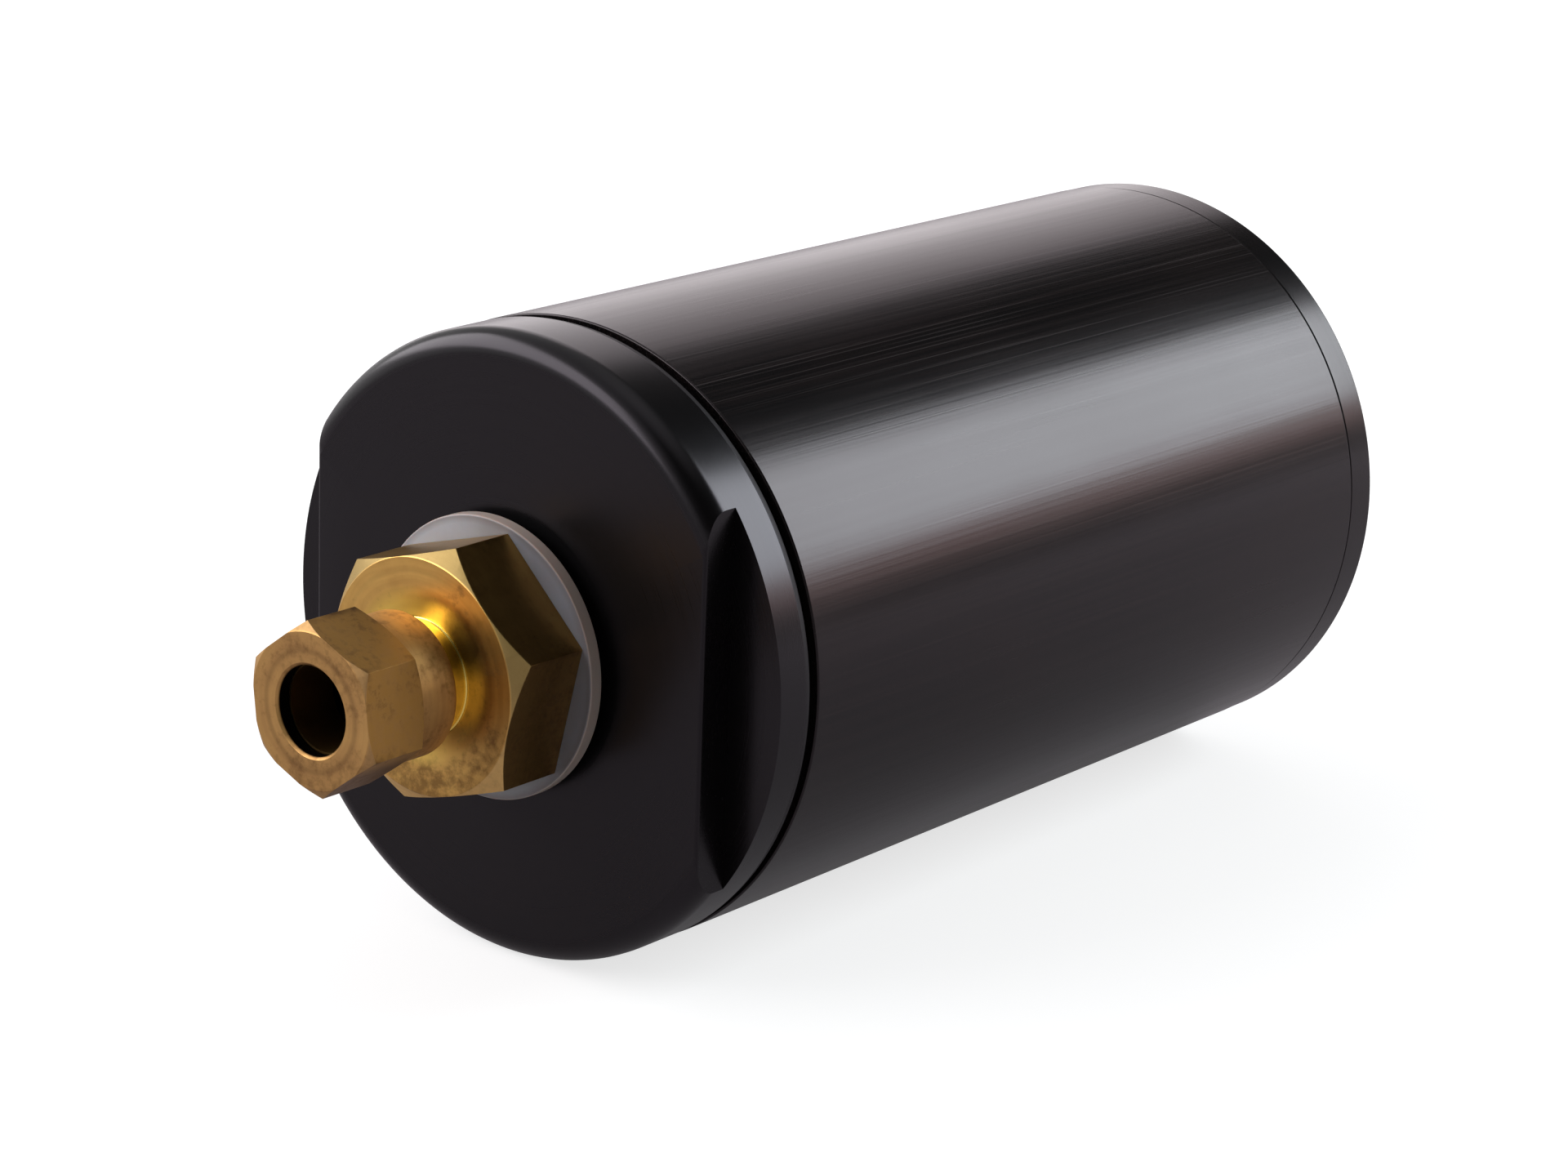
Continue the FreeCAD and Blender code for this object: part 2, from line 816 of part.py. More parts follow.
def make_bleed_screw():
    shank = radius("bleedThreadDia") - cell("threadClearance")
    head = radius("bleedHeadDia")
    head_height = cell("bleedHeadHeight")
    length = head_height + cell("bleedShankLength")
    body = turned(
        "bleed_screw",
        [(0, 0), (head, 0), (head, head_height), (shank, head_height), (shank, length), (0, length)],
        piston_front + bleed_recess - cell("bleedSealThickness") - head_height,
    )
    socket = sketch_on(body, "XZ_Plane", "bleed_socket")
    draw_hexagon(socket, cell("bleedSocketAcross"))
    cut(body, socket, cell("bleedSocketDepth"))
    return body


def make_bleed_seal():
    return ring_between(
        cell("bleedThreadDia") + cell("plugClearance") * 2,
        cell("bleedSealDia"),
        cell("bleedSealThickness"),
        piston_front + bleed_recess - cell("bleedSealThickness"),
        "bleed_seal",
    )


# Spring with ends ground flat, and the washer it pushes against

def make_return_spring():
    length = seat_front - spring_front
    pitch = length / cell("springCoils")
    coil = spring_outer - radius("springWire")
    line = doc.addObject("Part::Helix", "spring_line")
    bind(line, "Pitch", pitch)
    bind(line, "Height", length + pitch)
    bind(line, "Radius", coil)
    wire = doc.addObject("Part::Circle", "spring_wire")
    bind(wire, "Radius", radius("springWire"))
    wire.Placement = Placement(Vector(0, 0, 0), Rotation(Vector(1, 0, 0), 90))
    bind(wire, "Placement.Base.x", coil)
    coils = doc.addObject("Part::Sweep", "spring_coils")
    coils.Sections = [wire]
    coils.Spine = (line, ["Edge1"])
    coils.Solid = True
    coils.Frenet = True
    between = doc.addObject("Part::Cylinder", "spring_room")
    bind(between, "Radius", spring_outer + cell("cutterOverrun"))
    bind(between, "Height", length)
    bind(between, "Placement.Base.z", pitch / 2)
    spring = doc.addObject("Part::Common", "return_spring")
    spring.Base = coils
    spring.Tool = between
    spring.Placement = Placement(Vector(0, 0, 0), Rotation(Vector(1, 0, 0), -90))
    bind(spring, "Placement.Base.y", spring_front - pitch / 2)
    bind(spring, "Placement.Base.z", axis_height)
    doc.recompute()
    return spring


def make_spring_seat():
    return ring_between(
        seat_inner * 2, seat_outer * 2, cell("seatThickness"), seat_front, "spring_seat"
    )


pieces = [
    make_barrel(),
    make_front_cap(),
    make_joint_ring(),
    make_port_washer(),
    make_port_adaptor(),
    make_ferrule(),
    make_compression_nut(),
    make_rear_cap(),
    make_rear_o_ring(),
    make_breather_plug(),
    make_breather_filter(),
    make_breather_ring(),
    make_piston(),
    make_piston_seal("piston_front_seal", cell("frontSealOffset")),
    make_piston_seal("piston_rear_seal", cell("rearSealOffset")),
    make_guide_band(),
    make_bleed_screw(),
    make_bleed_seal(),
    make_return_spring(),
    make_spring_seat(),
]
doc.recompute()

for thing in doc.Objects:
    if "Invalid" in thing.State or "Error" in thing.State:
        raise RuntimeError(f"{thing.Label} did not build: {thing.State}")
for piece in pieces:
    if piece.Shape.isNull() or not piece.Shape.isValid() or not piece.Shape.Solids:
        raise RuntimeError(f"{piece.Label} has no sound solid")

os.makedirs("parts", exist_ok=True)
for piece in pieces:
    piece.Shape.exportStep(f"parts/{piece.Label}.step")
print(f"{len(pieces)} pieces written")
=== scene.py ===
import bpy
import math
from mathutils import Matrix, Vector


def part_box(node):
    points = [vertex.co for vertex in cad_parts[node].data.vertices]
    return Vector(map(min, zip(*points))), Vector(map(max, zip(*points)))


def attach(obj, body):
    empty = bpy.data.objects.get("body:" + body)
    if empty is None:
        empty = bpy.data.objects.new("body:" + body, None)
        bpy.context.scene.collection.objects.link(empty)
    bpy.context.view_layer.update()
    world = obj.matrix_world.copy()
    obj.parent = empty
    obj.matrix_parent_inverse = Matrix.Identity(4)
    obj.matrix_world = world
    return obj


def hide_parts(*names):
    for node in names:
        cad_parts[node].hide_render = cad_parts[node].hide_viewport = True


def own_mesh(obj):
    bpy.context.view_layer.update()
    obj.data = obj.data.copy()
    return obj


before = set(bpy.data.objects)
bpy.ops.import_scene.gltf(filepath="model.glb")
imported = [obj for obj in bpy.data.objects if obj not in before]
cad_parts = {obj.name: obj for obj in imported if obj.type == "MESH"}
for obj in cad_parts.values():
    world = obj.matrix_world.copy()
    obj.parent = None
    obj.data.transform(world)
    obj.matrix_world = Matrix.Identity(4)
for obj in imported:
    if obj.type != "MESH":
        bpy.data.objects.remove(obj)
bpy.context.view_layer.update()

# Lengths in the dictionaries are millimetres. The barrel's axis runs along Y.
mm = 0.001
tiny = 1e-6
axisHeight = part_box("barrel")[1].z / 2
smoothUpTo = 30     # degrees between faces that still shade as one
smallestEased = 25  # degrees at an edge that is eased


def startOf(node):  # port end of a piece, in millimetres
    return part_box(node)[0].y / mm


def endOf(node):
    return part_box(node)[1].y / mm


# Modelling steps

def deselectAll():
    if bpy.context.object and bpy.context.object.mode != "OBJECT":
        bpy.ops.object.mode_set(mode="OBJECT")
    bpy.ops.object.select_all(action="DESELECT")


def select(piece):
    deselectAll()
    piece.select_set(True)
    bpy.context.view_layer.objects.active = piece


def openMesh(piece):  # into edit mode with everything selected
    select(piece)
    bpy.ops.object.mode_set(mode="EDIT")
    bpy.ops.mesh.select_all(action="SELECT")


def closeMesh(weld=False):  # out of edit mode, with the faces turned outwards
    bpy.ops.mesh.select_all(action="SELECT")
    if weld:
        bpy.ops.mesh.remove_doubles(threshold=tiny)
    bpy.ops.mesh.normals_make_consistent(inside=False)
    bpy.ops.object.mode_set(mode="OBJECT")
    return bpy.context.object


def extrude(step):
    bpy.ops.mesh.extrude_region_move(TRANSFORM_OT_translate={"value": step})


def walkOutline(name, stops):
    # A single point walks round a closed outline, and the mesh stays open
    deselectAll()
    bpy.ops.mesh.primitive_plane_add(size=mm, location=(0, 0, 0))
    piece = bpy.context.object
    piece.name = piece.data.name = name
    openMesh(piece)
    bpy.ops.mesh.merge(type="CENTER")
    bpy.ops.transform.translate(value=stops[0])
    for here, there in zip(stops, stops[1:] + stops[:1]):
        extrude(there - here)
    bpy.ops.mesh.select_all(action="SELECT")
    bpy.ops.mesh.remove_doubles(threshold=tiny)


def turnPiece(name, outline, steps=192):
    # The outline's points are (radius, y)
    walkOutline(
        name, [Vector((0, along * mm, axisHeight + radius * mm)) for radius, along in outline]
    )
    bpy.ops.mesh.spin(
        steps=steps, angle=2 * math.pi, center=(0, 0, axisHeight), axis=(0, 1, 0)
    )
    return closeMesh(weld=True)


def standCircle(vertices, radius, across, along):
    # A filled circle or polygon square to the axis, and the mesh stays open
    deselectAll()
    bpy.ops.mesh.primitive_circle_add(
        vertices=vertices,
        radius=radius * mm,
        fill_type="NGON",
        location=(across * mm, 0, axisHeight),
        rotation=(math.pi / 2, 0, 0),
    )
    circle = bpy.context.object
    bpy.ops.object.transform_apply(location=True, rotation=True, scale=True)
    openMesh(circle)
    bpy.ops.transform.translate(value=(0, along * mm, 0))


def sideways(angle):  # unit vector square to the axis, at an angle from the top towards +X
    return Vector((math.sin(angle), 0, math.cos(angle)))


def millHex(piece, acrossFlats, cornerAngle):
    openMesh(piece)
    for flat in range(6):
        normal = sideways(math.radians(cornerAngle + 30 + 60 * flat))
        middle = Vector((0, 0, axisHeight)) + normal * acrossFlats / 2 * mm
        bpy.ops.mesh.select_all(action="SELECT")
        bpy.ops.mesh.bisect(
            plane_co=middle, plane_no=normal, use_fill=True, clear_outer=True, threshold=tiny / 10
        )
    closeMesh(weld=True)


def applyModifier(piece, modifier):
    select(piece)
    bpy.ops.object.modifier_apply(modifier=modifier.name)


def easeEdges(piece, width, segments=3):
    bevel = piece.modifiers.new("ease", "BEVEL")
    bevel.width = width * mm
    bevel.segments = segments
    bevel.limit_method = "ANGLE"
    bevel.angle_limit = math.radians(smallestEased)
    bevel.use_clamp_overlap = True
    bevel.miter_outer = "MITER_ARC"
    applyModifier(piece, bevel)


def cutAway(piece, cutter):
    carve = piece.modifiers.new("carve", "BOOLEAN")
    carve.operation = "DIFFERENCE"
    carve.solver = "EXACT"
    carve.object = cutter
    applyModifier(piece, carve)
    bpy.data.objects.remove(cutter)


def roundCorner(corner, before, after, radius, steps=6):
    # Points of a rounded corner in an outline, between its two neighbours
    corner, before, after = Vector(corner), Vector(before), Vector(after)
    toBefore = (before - corner).normalized()
    toAfter = (after - corner).normalized()
    half = toBefore.angle(toAfter) / 2
    centre = corner + (toBefore + toAfter).normalized() * radius / math.sin(half)
    start = corner + toBefore * radius / math.tan(half) - centre
    stop = corner + toAfter * radius / math.tan(half) - centre
    arc = [start.slerp(stop, step / steps).normalized() for step in range(steps + 1)]
    return [tuple(centre + spoke * radius) for spoke in arc]


def handOver(piece, body, material, node):
    select(piece)
    bpy.ops.object.shade_smooth_by_angle(angle=math.radians(smoothUpTo))
    weights = piece.modifiers.new("weights", "WEIGHTED_NORMAL")
    weights.keep_sharp = True
    applyModifier(piece, weights)
    piece.data.materials.clear()
    piece.data.materials.append(material)
    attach(piece, body)
    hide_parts(node)
    print("made", piece.name, len(piece.data.polygons), "faces")


# Shader maths

class Value:
    # A shader socket that can stand in an expression
    def __init__(self, finish, socket):
        self.finish = finish
        self.socket = socket

    def through(self, operation, *others):
        sockets = dict(enumerate((self, *others)))
        return self.finish.node("ShaderNodeMath", {"operation": operation}, sockets)

    def __add__(self, other):
        return self.through("ADD", other)

    def __sub__(self, other):
        return self.through("SUBTRACT", other)

    def __rsub__(self, other):
        negative = self.through("MULTIPLY", -1)
        return negative + other

    def __mul__(self, other):
        return self.through("MULTIPLY", other)

    def __truediv__(self, other):
        return self.through("DIVIDE", other)

    def __pow__(self, other):
        return self.through("POWER", other)

    __radd__ = __add__
    __rmul__ = __mul__

    def limited(self):
        return self.through("MAXIMUM", 0).through("MINIMUM", 1)

    def ramp(self, low, high):  # 0 below low, 1 above high
        return ((self - low) / (high - low)).limited()


class Finish:
    def __init__(self, name):
        self.material = bpy.data.materials.new(name)
        self.material.use_nodes = True
        tree = self.material.node_tree
        self.begin(tree, "ShaderNodeBsdfPrincipled", "ShaderNodeOutputMaterial")
        self.x, self.y, z = (part / mm for part in self.place("Object"))
        self.up = z - axisHeight / mm

    def begin(self, tree, surfaceKind, outputKind):
        self.tree = tree
        tree.nodes.clear()
        self.surface = tree.nodes.new(surfaceKind)
        output = tree.nodes.new(outputKind)
        tree.links.new(self.surface.outputs[0], output.inputs["Surface"])

    def place(self, kind):
        where = self.tree.nodes.new("ShaderNodeTexCoord").outputs[kind]
        parts = self.tree.nodes.new("ShaderNodeSeparateXYZ")
        self.tree.links.new(where, parts.inputs[0])
        return [Value(self, part) for part in parts.outputs]

    def lightPath(self):
        # Whether a ray is the camera's own, and whether gloss or glass sent it on
        path = self.tree.nodes.new("ShaderNodeLightPath").outputs
        mirrored = Value(self, path["Is Glossy Ray"]) + Value(self, path["Is Transmission Ray"])
        return Value(self, path["Is Camera Ray"]), mirrored.limited()

    def plug(self, socket, value):
        if isinstance(value, Value):
            self.tree.links.new(value.socket, socket)
        else:
            socket.default_value = value

    def node(self, kind, settings, sockets, output=0):
        made = self.tree.nodes.new(kind)
        for setting, value in settings.items():
            setattr(made, setting, value)
        for socket, value in sockets.items():
            self.plug(made.inputs[socket], value)
        return Value(self, made.outputs[output])

    def vector(self, x, y, z):
        return self.node("ShaderNodeCombineXYZ", {}, {0: x, 1: y, 2: z})

    def radius(self):
        return (self.x * self.x + self.up * self.up) ** 0.5

    def texture(self, where, detail, roughness):
        sockets = {"Vector": where, "Scale": 1.0, "Detail": detail, "Roughness": roughness}
        return self.node("ShaderNodeTexNoise", {}, sockets, "Fac")

    def noise(self, grainX, grainY, grainZ, detail=3, roughness=0.5, seed=0):
        # Noise whose grain has those sizes, in millimetres
        where = self.vector(
            self.x / grainX + seed, self.y / grainY + seed * 0.7, self.up / grainZ - seed
        )
        return self.texture(where, detail, roughness)

    def rings(self, width, wobble=0.0, seed=0):
        # Fine turning lines about the axis
        across = self.radius() / width
        if wobble:
            across = across + self.noise(9, 9, 9, 2, seed=seed + 3) * wobble
        where = self.vector(across + seed, self.y / width, seed)
        return self.texture(where, 3.0, 0.6)

    def mix(self, factor, first, second):
        settings = {"data_type": "RGBA"}
        first = first if isinstance(first, Value) else (*first, 1)
        second = second if isinstance(second, Value) else (*second, 1)
        return self.node("ShaderNodeMix", settings, {0: factor, 6: first, 7: second}, 2)

    def bump(self, height, depth):
        sockets = {"Height": height, "Distance": depth * mm, "Strength": 1.0}
        self.set(Normal=self.node("ShaderNodeBump", {}, sockets))

    def set(self, **sockets):
        for name, value in sockets.items():
            if isinstance(value, tuple):
                value = (*value, 1)
            self.plug(self.surface.inputs[name.replace("_", " ")], value)


# Finishes

anodising = {
    "colour": (0.0016, 0.0014, 0.0016),
    "brown": (0.0045, 0.0026, 0.0024),
    "streak": (0.0075, 0.005, 0.0048),
    "hairlineGlint": (0.045, 0.039, 0.039),
    "specular": 0.33,
    "sheen": (1.0, 0.88, 0.93),
    "roughness": 0.245,
}
# The front cap is a colder black
capAnodising = anodising | {
    "colour": (0.0022, 0.0021, 0.0022),
    "brown": (0.0026, 0.0021, 0.0021),
    "sheen": (0.96, 0.88, 0.98),
    "faceRadius": 27.9,
    "faceEnd": startOf("front_cap") + 1.5,
    "backEdge": startOf("barrel") - 1.7,
    "mattFace": 0.06,  # what the face and the back edge add to the roughness
    "dullEdge": 0.3,
}


def anodised(name, grain, look):
    finish = Finish(name)
    cloud = finish.noise(14, 30, 14, 3, seed=4)
    tone = finish.mix(cloud.ramp(0.45, 0.7), look["colour"], look["brown"])
    if grain == "drawn":  # lines of several widths along the tube, the odd one pale
        wide = finish.noise(0.9, 300, 0.9, 2, 0.5)
        middling = finish.noise(0.32, 110, 0.32, 2, 0.6, seed=8)
        fine = finish.noise(0.18, 45, 0.18, 2, 0.6, seed=12)
        # Pale hairline scratches with a painted glint, kept to the upper side where they catch the
        # light
        hairlineGlint = finish.noise(0.17, 60, 0.17, 1, 0.5, seed=15).ramp(0.6, 0.72)
        hairlineGlint = hairlineGlint * finish.up.ramp(8, 22)
        lines = wide * 0.3 + middling * 0.4 + fine * 0.3
        tone = finish.mix((middling * 0.5 + fine * 0.5).ramp(0.45, 0.62), tone, look["streak"])
        tone = finish.mix(hairlineGlint * 0.6, tone, look["hairlineGlint"])
        relief = wide * 0.8 + middling * 0.5 + fine * 0.25
        depth = 0.01
    else:  # fine lines round the cap and its face
        lines = finish.rings(0.16, seed=2)
        relief = lines
        depth = 0.002
    matt = look["roughness"]
    if "faceRadius" in look:
        face = 1 - finish.radius().ramp(look["faceRadius"] - 0.6, look["faceRadius"] + 0.2)
        face = face * (1 - finish.y.ramp(look["faceEnd"], look["faceEnd"] + 0.3))
        edge = finish.y.ramp(look["backEdge"] - 0.05, look["backEdge"] + 0.05)
        matt = face * look["mattFace"] + edge * look["dullEdge"] + matt
    finish.set(
        Base_Color=tone,
        Roughness=matt + (lines - 0.5) * 0.16 + (cloud - 0.5) * 0.08,
        Specular_IOR_Level=look["specular"],
        Specular_Tint=look["sheen"],
    )
    finish.bump(relief, depth)
    return finish.material


adaptorBrass = {
    "colour": (0.8, 0.5, 0.142),
    "dull": (0.62, 0.355, 0.1),
    # Also the colour of the painted shade on the right side and the underside
    "patinaAndShade": (0.14, 0.07, 0.025),
    "bright": (0.78, 0.54, 0.22),
    "shaded": (0.31, 0.225, 0.085),
    "clean": (1.0, 0.73, 0.17),
    "flatToneAndShade": (0.2, 0.11, 0.035),
    "collarShadeColour": (0.03, 0.014, 0.008),
    "boreShade": (0.002, 0.0015, 0.001),
    "roughness": 0.36,
    # Shares of each kind of wear
    "stain": 0.6,
    "stainDown": -0.008,
    "shadedRightSide": 0.3,
    "darkShadedFlats": 0.6,
    "spotted": 0.2,
    "grimyCorners": 0.3,
    "paleChamfer": 0.7,
    "shadedChamfer": 0.85,
    "ringStain": 0.12,
    "cleanDishShadedRight": 1.0,
    "cleanNeck": 0.8,
    "collarShadeShare": 0.7,
    "shadedBore": 1.0,
    "grit": 0.2,
    # Where they are, in millimetres from the axis or along it
    "flats": 11.0,
    "chamfer": 11.05,
    "slope": 1.36,
    "hexFront": endOf("port_adaptor") - 19.6,
    "corner": 12.8,
    "ring": 9.9,
    "bore": 5.2,
    "mouth": startOf("port_adaptor"),
    "boreEnd": endOf("port_adaptor") + 5,
    "dishInner": 7.0,
    "dishOuter": 8.6,
    "dishStart": endOf("port_adaptor") - 20.0,
    "polished": 5.5,
    "collarShade": (5.3, 4.2),
    "collarShadeRadius": 3.6,
}
nutBrass = {
    "colour": (0.58, 0.345, 0.12),
    "dull": (0.43, 0.24, 0.088),
    # Also the colour of the painted shade on the underside
    "patinaAndShade": (0.13, 0.065, 0.025),
    "bright": (0.5, 0.32, 0.14),
    "flatToneAndShade": (0.42, 0.228, 0.056),
    "boreShade": (0.002, 0.0015, 0.001),
    "roughness": 0.47,
    "stain": 0.5,
    "stainDown": 0.0,
    "darkShadedFlats": 0.8,
    "speckled": 0.35,
    "spotted": 0.45,
    "shadedUnderside": 0.75,
    "grimyCorners": 0.8,
    "paleChamfer": 0.6,
    "ringStain": 0.3,
    "shadedBore": 1.0,
    "grit": 0.12,
    "flats": 6.9,
    "chamfer": 7.17,
    "slope": 1.52,
    "hexFront": startOf("compression_nut"),
    "corner": 8.0,
    "ring": 5.5,
    "bore": 6.1,
    "mouth": startOf("compression_nut") + 0.15,
    "boreEnd": endOf("compression_nut"),
}


def brass(name, look, seed):
    finish = Finish(name)
    x, y, up = finish.x, finish.y, finish.up
    radius = finish.radius()
    broad = finish.noise(5, 5, 5, 4, 0.6, seed=seed)
    mottle = finish.noise(0.9, 0.9, 0.9, 4, 0.65, seed=seed + 11)
    lines = finish.rings(0.12, 0.6, seed=seed)
    bands = finish.rings(1.3, 1.6, seed=seed + 2)
    scratch = finish.noise(0.16, 5, 0.16, 3, 0.7, seed=seed + 5)
    grit = finish.noise(0.14, 0.14, 0.14, 2, 0.6, seed=seed + 7)
    stain = broad * 0.45 + mottle * 0.55 + up * look["stainDown"]
    stain = stain.ramp(0.5, 0.64) * look["stain"]
    # The turned chamfer is grainy and paler, partly clean turned brass and partly a painted
    # highlight; the drawn flats beyond it are darker, partly their own tone and partly painted
    # shade for the dark things they reflect
    cone = radius - look["chamfer"] - (y - look["hexFront"]) * look["slope"]
    beyond = y.ramp(look["hexFront"] + 0.03, look["hexFront"] + 0.1)
    chamfer = cone.ramp(-0.12, -0.04) * beyond
    # Painted shade on the upper part of the chamfer
    shaded = chamfer * (up + x * 0.3).ramp(-3, 5)
    flats = (1 - cone.ramp(-0.2, -0.1)) * beyond * radius.ramp(look["flats"], look["flats"] + 0.05)
    specks = flats * mottle.ramp(0.42, 0.6)
    spots = flats * mottle.ramp(0.5, 0.62) * broad.ramp(0.38, 0.6)
    # Painted shade on the flats of the underside
    underShade = (up * -1).ramp(3.5, 5.5) * flats
    corners = radius.ramp(look["corner"] - 0.3, look["corner"]) * broad.ramp(0.45, 0.6) * beyond
    ring = 1 - ((radius - look["ring"]).through("ABSOLUTE") - 0.1).ramp(0, 0.3)
    layers = [
        # Painted shade: the right side is darker
        (x.ramp(3, 9), "shadedRightSide", "patinaAndShade"),
        (flats, "darkShadedFlats", "flatToneAndShade"),
        (specks, "speckled", "dull"),
        (spots, "spotted", "patinaAndShade"),
        (underShade, "shadedUnderside", "patinaAndShade"),
        (corners, "grimyCorners", "patinaAndShade"),
        (chamfer, "paleChamfer", "bright"),
        (shaded, "shadedChamfer", "shaded"),
        (ring, "ringStain", "patinaAndShade"),
    ]
    roughness = look["roughness"] + stain * 0.15 + (lines - 0.5) * 0.1 + (scratch - 0.5) * 0.12
    if "dishStart" in look:  # a cleaner dish round a polished neck, with painted shade on the dish's right side and a dark patch of painted shade beside the neck
        behind = y.ramp(look["dishStart"], look["dishStart"] + 0.1)
        dish = (1 - radius.ramp(look["dishInner"], look["dishOuter"])) * behind
        # Painted shade: the dish gets less of the clean colour towards its right side
        dish = dish * (1 - x.ramp(-1, 4) * 0.7)
        polish = 1 - radius.ramp(look["polished"], look["polished"] + 0.25)
        shadeX, shadeUp = look["collarShade"]
        # Painted shade: a dark patch beside the neck, where the nut's collar shades the dish
        collarShade = ((x - shadeX) ** 2 + (up - shadeUp) ** 2) ** 0.5 + (mottle - 0.5) * 2
        collarShade = (1 - collarShade.ramp(look["collarShadeRadius"] * 0.4, look["collarShadeRadius"])) * behind
        collarShade = collarShade * radius.ramp(look["polished"], look["polished"] + 0.2)
        layers.append((dish, "cleanDishShadedRight", "clean"))
        layers.append((polish, "cleanNeck", "clean"))
        layers.append((collarShade, "collarShadeShare", "collarShadeColour"))
        roughness = (roughness + dish * 0.07) * (1 - polish * 0.5)
    # Painted shade: the bore is painted near black, for the shade deep inside it
    inside = 1 - radius.ramp(look["bore"], look["bore"] + 0.1)
    inside = inside * y.ramp(look["mouth"], look["mouth"] + 0.2)
    inside = inside * (1 - y.ramp(look["boreEnd"] - 1, look["boreEnd"]))
    layers.append((inside, "shadedBore", "boreShade"))
    tone = finish.mix((broad * 0.5 + bands * 0.5).ramp(0.4, 0.62), look["colour"], look["dull"])
    tone = finish.mix(stain, tone, look["patinaAndShade"])
    for mask, share, colour in layers:
        if share in look:
            tone = finish.mix(mask * look[share], tone, look[colour])
    finish.set(
        Base_Color=tone,
        Metallic=1.0,
        Roughness=roughness + inside * 0.3 + chamfer * look["grit"],
    )
    finish.bump(
        lines * 0.5 + scratch * 0.4 + mottle * 0.4 + grit * (0.15 + chamfer * 0.5), 0.008
    )
    return finish.material


washerNylon = {
    "colour": (0.49, 0.53, 0.6),
    "cloudy": (0.41, 0.42, 0.45),
    "worn": (0.24, 0.21, 0.2),
    "rightShadeColour": (0.1, 0.09, 0.1),
    "rimColour": (0.48, 0.385, 0.335),
    "rim": 13.3,
}


def nylon(name, look):
    finish = Finish(name)
    cloud = finish.noise(6, 6, 6, 3, seed=3)
    grain = finish.noise(0.35, 0.35, 0.35, 3, 0.6, seed=9)
    lines = finish.rings(0.25, seed=4)
    tone = finish.mix(cloud.ramp(0.3, 0.7), look["colour"], look["cloudy"])
    worn = finish.radius().ramp(look["rim"] - 0.7, look["rim"]) * (0.5 + cloud * 0.5)
    tone = finish.mix(worn, tone, look["worn"])
    # Painted shade, darker towards the right and unevenly, where the hexagon shades the washer
    rightShade = (finish.x + finish.up * 0.3 + cloud * 4).ramp(-1, 11)
    tone = finish.mix(rightShade * 0.75, tone, look["rightShadeColour"])
    rim = finish.radius().ramp(look["rim"], look["rim"] + 0.06)
    tone = finish.mix(rim * 0.85, tone, look["rimColour"])
    finish.set(
        Base_Color=tone,
        Roughness=0.42 + (grain - 0.5) * 0.15,
        Subsurface_Weight=0.2,
        Subsurface_Scale=0.0012,
    )
    finish.bump(grain * 0.6 + lines * 0.4, 0.012)
    return finish.material


def rubber(name):
    finish = Finish(name)
    grain = finish.noise(0.2, 0.2, 0.2, 2, seed=5)
    bloom = finish.noise(5, 5, 5, 3, seed=7)
    finish.set(
        Base_Color=finish.mix(bloom.ramp(0.4, 0.7), (0.012, 0.012, 0.013), (0.022, 0.021, 0.021)),
        Roughness=0.52 + (grain - 0.5) * 0.15,
    )
    finish.bump(grain, 0.004)
    return finish.material


def bareMetal(name, colour, worn, roughness, seed):
    finish = Finish(name)
    cloud = finish.noise(6, 6, 6, 3, seed=seed)
    lines = finish.rings(0.15, seed=seed)
    finish.set(
        Base_Color=finish.mix(cloud.ramp(0.4, 0.7), colour, worn),
        Metallic=1.0,
        Roughness=roughness + (lines - 0.5) * 0.12 + (cloud - 0.5) * 0.1,
    )
    finish.bump(lines, 0.002)
    return finish.material


def sintered(name, grain=0.3):
    finish = Finish(name)
    where = finish.vector(finish.x / grain, finish.y / grain, finish.up / grain)
    sockets = {"Vector": where, "Scale": 1.0}
    cells = finish.node("ShaderNodeTexVoronoi", {}, sockets, "Distance")
    # The gaps between the grains are painted darker, as shade in the pores
    gaps = cells.ramp(0.25, 0.7)
    finish.set(
        Base_Color=finish.mix(gaps, (0.45, 0.27, 0.12), (0.09, 0.05, 0.03)),
        Metallic=0.8,
        Roughness=0.45 + gaps * 0.3,
    )
    finish.bump(1 - gaps, 0.06)
    return finish.material


def plastic(name, colour, pale):
    finish = Finish(name)
    cloud = finish.noise(7, 7, 7, 3, seed=2)
    grain = finish.noise(0.3, 0.3, 0.3, 2, seed=6)
    finish.set(
        Base_Color=finish.mix(cloud.ramp(0.4, 0.7), colour, pale),
        Roughness=0.45 + (grain - 0.5) * 0.12,
    )
    finish.bump(grain, 0.004)
    return finish.material


barrelFinish = anodised("barrelAnodised", "drawn", anodising)
frontCapFinish = anodised("frontCapAnodised", "turned", capAnodising)
rearCapFinish = anodised("rearCapAnodised", "turned", anodising)
rubberFinish = rubber("blackRubber")
nylonFinish = nylon("whiteNylon", washerNylon)
adaptorFinish = brass("adaptorBrass", adaptorBrass, 1)
nutFinish = brass("nutBrass", nutBrass, 6)
ferruleFinish = bareMetal("ferruleBrass", (0.45, 0.28, 0.09), (0.35, 0.2, 0.06), 0.35, 4)
breatherFinish = bareMetal("breatherBrass", (0.45, 0.29, 0.1), (0.36, 0.22, 0.07), 0.32, 7)
bronzeFinish = sintered("sinteredBronze")
springFinish = bareMetal("springSteel", (0.3, 0.3, 0.31), (0.2, 0.2, 0.21), 0.35, 5)
zincFinish = bareMetal("zincSteel", (0.5, 0.51, 0.52), (0.42, 0.42, 0.42), 0.38, 2)
aluminiumFinish = bareMetal("plainAluminium", (0.6, 0.6, 0.61), (0.52, 0.52, 0.53), 0.35, 3)
guideFinish = plastic("guidePlastic", (0.03, 0.09, 0.07), (0.05, 0.12, 0.09))
copperFinish = bareMetal("softCopper", (0.55, 0.25, 0.15), (0.42, 0.17, 0.1), 0.4, 8)
print("finishes made")

# Barrel

